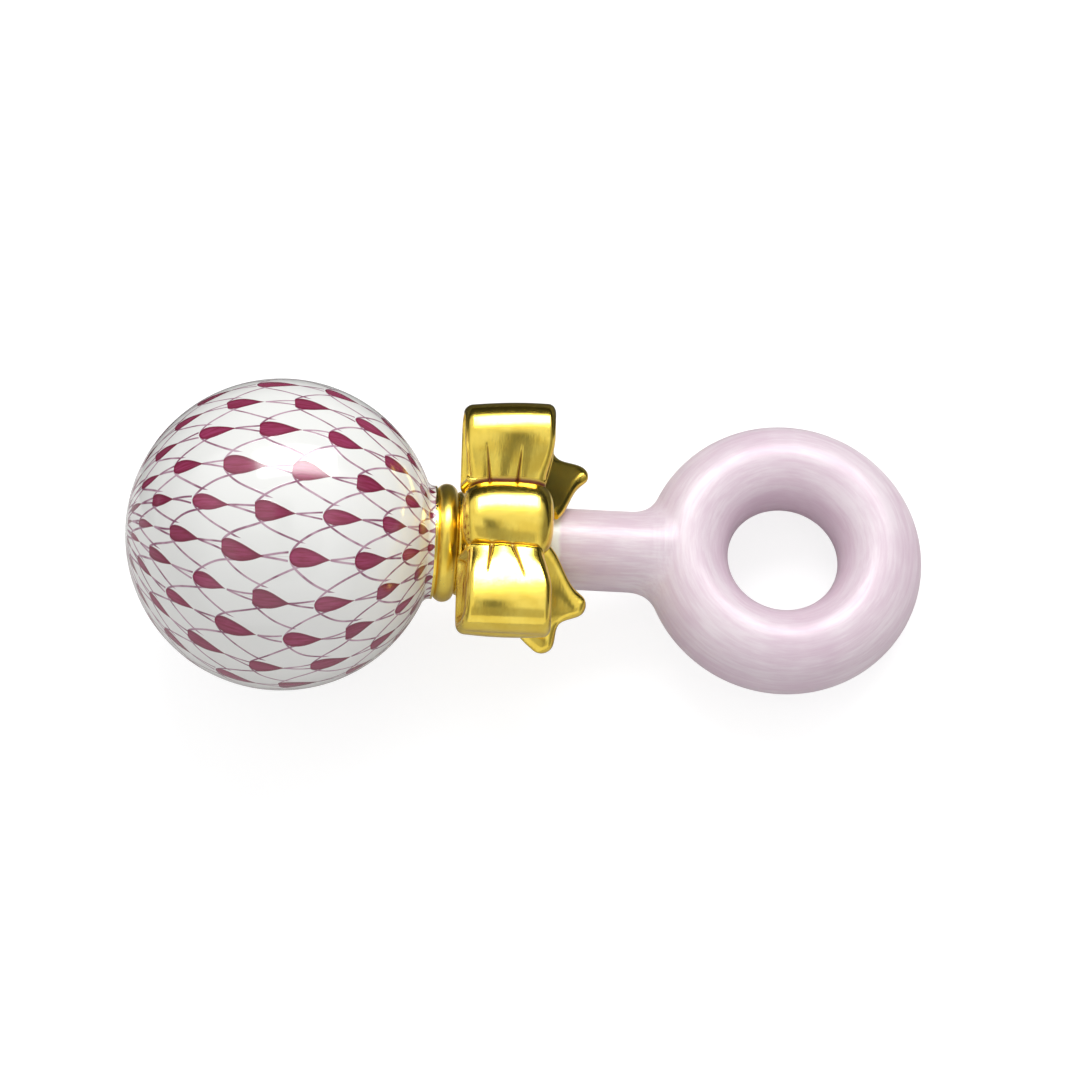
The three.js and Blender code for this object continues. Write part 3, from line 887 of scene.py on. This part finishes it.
def add_ring():
    """The ring and its stub: one skin, drawn onto the exact surface after a remesh."""
    angle = np.linspace(0, 2 * np.pi, 96, endpoint=False)
    profile = [(RING_RADIUS + RING_TUBE * math.cos(t), RING_TUBE * math.sin(t))
               for t in np.linspace(0, 2 * np.pi, 40, endpoint=False)]
    torus = np.array([(RING_X + r * math.cos(a), r * math.sin(a), h) for r, h in profile
                      for a in angle])
    stub, stub_faces = turn([(STEM_JOINT - 6, 0.0), (STEM_JOINT - 6, STEM_RADIUS),
                             (RING_X - RING_RADIUS, STEM_RADIUS),
                             (RING_X - RING_RADIUS, 0.0)], 64)
    mesh = bpy.data.meshes.new("ring")
    ring_faces = grid_faces(len(profile), len(angle), wrap_rows=True, wrap_columns=True)
    mesh.from_pydata((np.vstack([torus, stub]) * MM).tolist(), [],
                     ring_faces + [tuple(i + len(torus) for i in f) for f in stub_faces])
    shape = bmesh.new()
    shape.from_mesh(mesh)
    bmesh.ops.remove_doubles(shape, verts=shape.verts, dist=1e-6)
    bmesh.ops.recalc_face_normals(shape, faces=shape.faces)
    shape.to_mesh(mesh)
    shape.free()
    piece = add_object("ring", mesh, lilac, "lilac_glaze", "handle_ring")
    remesh = piece.modifiers.new("remesh", "REMESH")
    remesh.mode = "VOXEL"
    remesh.voxel_size = RING_VOXEL * MM
    graph = bpy.context.evaluated_depsgraph_get()
    piece.data = bpy.data.meshes.new_from_object(piece.evaluated_get(graph), depsgraph=graph)
    piece.modifiers.clear()
    settle(piece.data)
    carve(piece, box_cutter((0, -60, -60), (STEM_JOINT, 60, 60)), table_cutter())
    piece.data.shade_smooth()
    piece.data.set_sharp_from_angle(angle=math.radians(40))
    exact_normals(piece, handle_slope)
    piece.data.materials.clear()
    piece.data.materials.append(lilac)


def settle(mesh):
    """Evens out a remeshed skin and draws its points onto the exact surface."""
    points = points_of(mesh)
    edges = np.empty(len(mesh.edges) * 2, int)
    mesh.edges.foreach_get("vertices", edges)
    first, second = edges.reshape(-1, 2).T
    for _ in range(6):
        total, number = np.zeros_like(points), np.zeros(len(points))
        for a, b in ((first, second), (second, first)):
            np.add.at(total, a, points[b])
            np.add.at(number, a, 1)
        points += 0.5 * (total / number[:, None] - points)
        for _ in range(2):
            points -= handle_distance(points)[:, None] * handle_slope(points)
    mesh.vertices.foreach_set("co", (points * MM).ravel())
    mesh.update()


add_ring()

# Camera


def camera_axes():
    """Directions to the right, up and towards the camera, in the rattle's frame."""
    a, b, c = (math.radians(v) for v in (ROLL, YAW, SLOPE))
    side = Vector((1, 0, 0))
    towards = Vector((0, -math.sin(a), math.cos(a)))
    up = Vector((0, math.cos(a), math.sin(a)))
    towards, right = (towards * math.cos(b) - side * math.sin(b),
                      side * math.cos(b) + towards * math.sin(b))
    return (right * math.cos(c) + up * math.sin(c), up * math.cos(c) - right * math.sin(c),
            towards)


right, up, towards = (RATTLE.to_3x3() @ axis for axis in camera_axes())
target = RATTLE.translation - (right * BALL_OFFSET[0] + up * BALL_OFFSET[1]) * MM


def facing(position, direction, vertical):
    """A placement that looks back along a direction, with the given vertical."""
    direction = direction.normalized()
    side = vertical.cross(direction).normalized()
    matrix = Matrix((side, direction.cross(side), direction)).transposed().to_4x4()
    matrix.translation = position
    return matrix


camera = bpy.data.objects.new("camera", bpy.data.cameras.new("camera"))
camera.data.lens = LENS
camera.data.sensor_width = 36
camera.data.clip_start, camera.data.clip_end = 0.01, 20
camera.matrix_world = facing(target + towards * DISTANCE, towards, up)
scene.collection.objects.link(camera)
scene.camera = camera

# Stage and light


def view_direction(sideways, upward):
    """A direction seen from the object, in degrees from the way to the camera."""
    a, b = math.radians(sideways), math.radians(upward)
    return (right * math.sin(a) * math.cos(b) + up * math.sin(b)
            + towards * math.cos(a) * math.cos(b)).normalized()


def add_lamp(name, direction, distance, width, height, power):
    """A rectangular lamp that faces the rattle from a direction."""
    light = bpy.data.lights.new(name, "AREA")
    light.shape = "RECTANGLE"
    light.size, light.size_y = width, height
    light.energy = power
    lamp = bpy.data.objects.new(name, light)
    lamp.matrix_world = facing(target + direction * distance, direction, up)
    scene.collection.objects.link(lamp)
    return lamp


def stage_material(name, shade, glow=0.0):
    """Card or paper that may also glow."""
    paint = Paint(name)
    grain = paint.noise(0.02, 3.0)
    tone = paint.mix(grain, tuple(v * 0.985 for v in shade), shade)
    paint.shader.inputs["Emission Strength"].default_value = glow
    return paint.set(base_color=tone, roughness=0.7, emission_color=tone)


def only_for(thing, camera=False, diffuse=False, glossy=False, shadow=False):
    """Limits the kinds of rays that meet a thing."""
    thing.visible_camera, thing.visible_diffuse = camera, diffuse
    thing.visible_glossy, thing.visible_shadow = glossy, shadow
    thing.visible_transmission = thing.visible_volume_scatter = False


def add_stage(name, mesh, material):
    """A thing of the studio, which isn't part of the rattle."""
    mesh.materials.append(material)
    thing = bpy.data.objects.new(name, mesh)
    scene.collection.objects.link(thing)
    return thing


def add_card(name, corners, material):
    """A flat sheet between corners, in metres."""
    mesh = bpy.data.meshes.new(name)
    mesh.from_pydata([tuple(c) for c in corners], [], [tuple(range(len(corners)))])
    return add_stage(name, mesh, material)


def add_table(name, low, high, height, material):
    """A level sheet between two corners (x, y)."""
    corners = [(low[0], low[1]), (high[0], low[1]), (high[0], high[1]), (low[0], high[1])]
    return add_card(name, [(x, y, height) for x, y in corners], material)


def facing_card(name, direction, distance, width, height, material):
    """A sheet that faces the rattle from a direction, and that only its reflections show."""
    card = add_card(name, [(-width / 2, -height / 2, 0), (width / 2, -height / 2, 0),
                           (width / 2, height / 2, 0), (-width / 2, height / 2, 0)], material)
    card.matrix_world = facing(target + direction * distance, direction, up)
    only_for(card, glossy=True)


def glow_material(name, strength):
    """A surface that only glows, as strong as a function of its paint says."""
    paint = Paint(name)
    paint.set(base_color=(0, 0, 0, 1), roughness=1.0, specular_ior_level=0.0,
              emission_color=(1, 1, 1, 1))
    feed(paint.shader.inputs["Emission Strength"], strength(paint))
    return paint.material


def softbox_glow(paint):
    """Brightest in the middle, and softer towards the edges of the box."""
    sideways = (paint.x * (2 / SOFTBOX[0] * MM)).size().ramp(0.8, 1.0, 1.0, 0.3)
    upward = (paint.y * (2 / SOFTBOX[1] * MM)).size().ramp(0.7, 1.0, 1.0, 0.25)
    return sideways * upward * 12.0


def studio_glow(paint):
    """Pale walls; dark behind the far side of the table and, less so, at its two ends."""
    height = paint.z.math("ARCTAN2", paint.y) * (180 / math.pi)
    end = (paint.x * (MM / STUDIO)).size()
    return height.ramp(34.0, 46.0, 0.02, 1.0) * end.ramp(0.62, 0.9, 1.0, 0.3) * 0.96


def dim_glow(paint):
    """The wall behind the camera: a dark upright where it stands, and dimmer below than above."""
    sideways = ((paint.x - STAND_X) * (1 / STAND_HALF)).size()
    stand = (1.0 - sideways.ramp(0.35, 1.0)) * paint.y.ramp(330.0, 620.0, 0.88, 0.0)
    stand = stand * paint.y.ramp(-100.0, 150.0, 0.4, 1.0)
    return (1.0 - stand) * paint.y.ramp(-60.0, 160.0, 0.58, 0.96)


# the camera sees a bright floor; the rattle's lighting and reflections come from a greyer one,
# with a dark strip behind the rattle
paper = stage_material("paper", (150, 150, 150), 2.6)
grey_paper = stage_material("grey_paper", (204, 202, 201))
dark_paper = stage_material("dark_paper", (14, 14, 14))
only_for(add_table("floor", (-3, -3), (3, 3), 0.0, paper), camera=True)
only_for(add_table("floor_bounce", (-3, -3), (3, 3), -0.002, grey_paper),
         diffuse=True, glossy=True)
only_for(add_table("dark_floor", (-0.5, 0.030), (0.5, 1.2), 0.0006, dark_paper), glossy=True)

dome = bpy.data.meshes.new("studio")
shape = bmesh.new()
bmesh.ops.create_uvsphere(shape, u_segments=48, v_segments=24, radius=STUDIO)
shape.to_mesh(dome)
shape.free()
only_for(add_stage("studio", dome, glow_material("studio_walls", studio_glow)), glossy=True)

box_way = view_direction(*SOFTBOX_WAY)
facing_card("softbox_face", box_way, BOX_DISTANCE, *SOFTBOX,
            glow_material("softbox_cloth", softbox_glow))
facing_card("dim_wall", towards, WALL_DISTANCE, *WALL, glow_material("dim_wall", dim_glow))
lamp = add_lamp("softbox", box_way, BOX_DISTANCE, *LAMP, LAMP_WATTS)
lamp.visible_glossy = False

world = bpy.data.worlds.new("studio")
world.use_nodes = True
world.node_tree.nodes["Background"].inputs["Color"].default_value = (1.0, 1.0, 1.0, 1)
world.node_tree.nodes["Background"].inputs["Strength"].default_value = 0.7
scene.world = world
scene.view_settings.view_transform = "Standard"
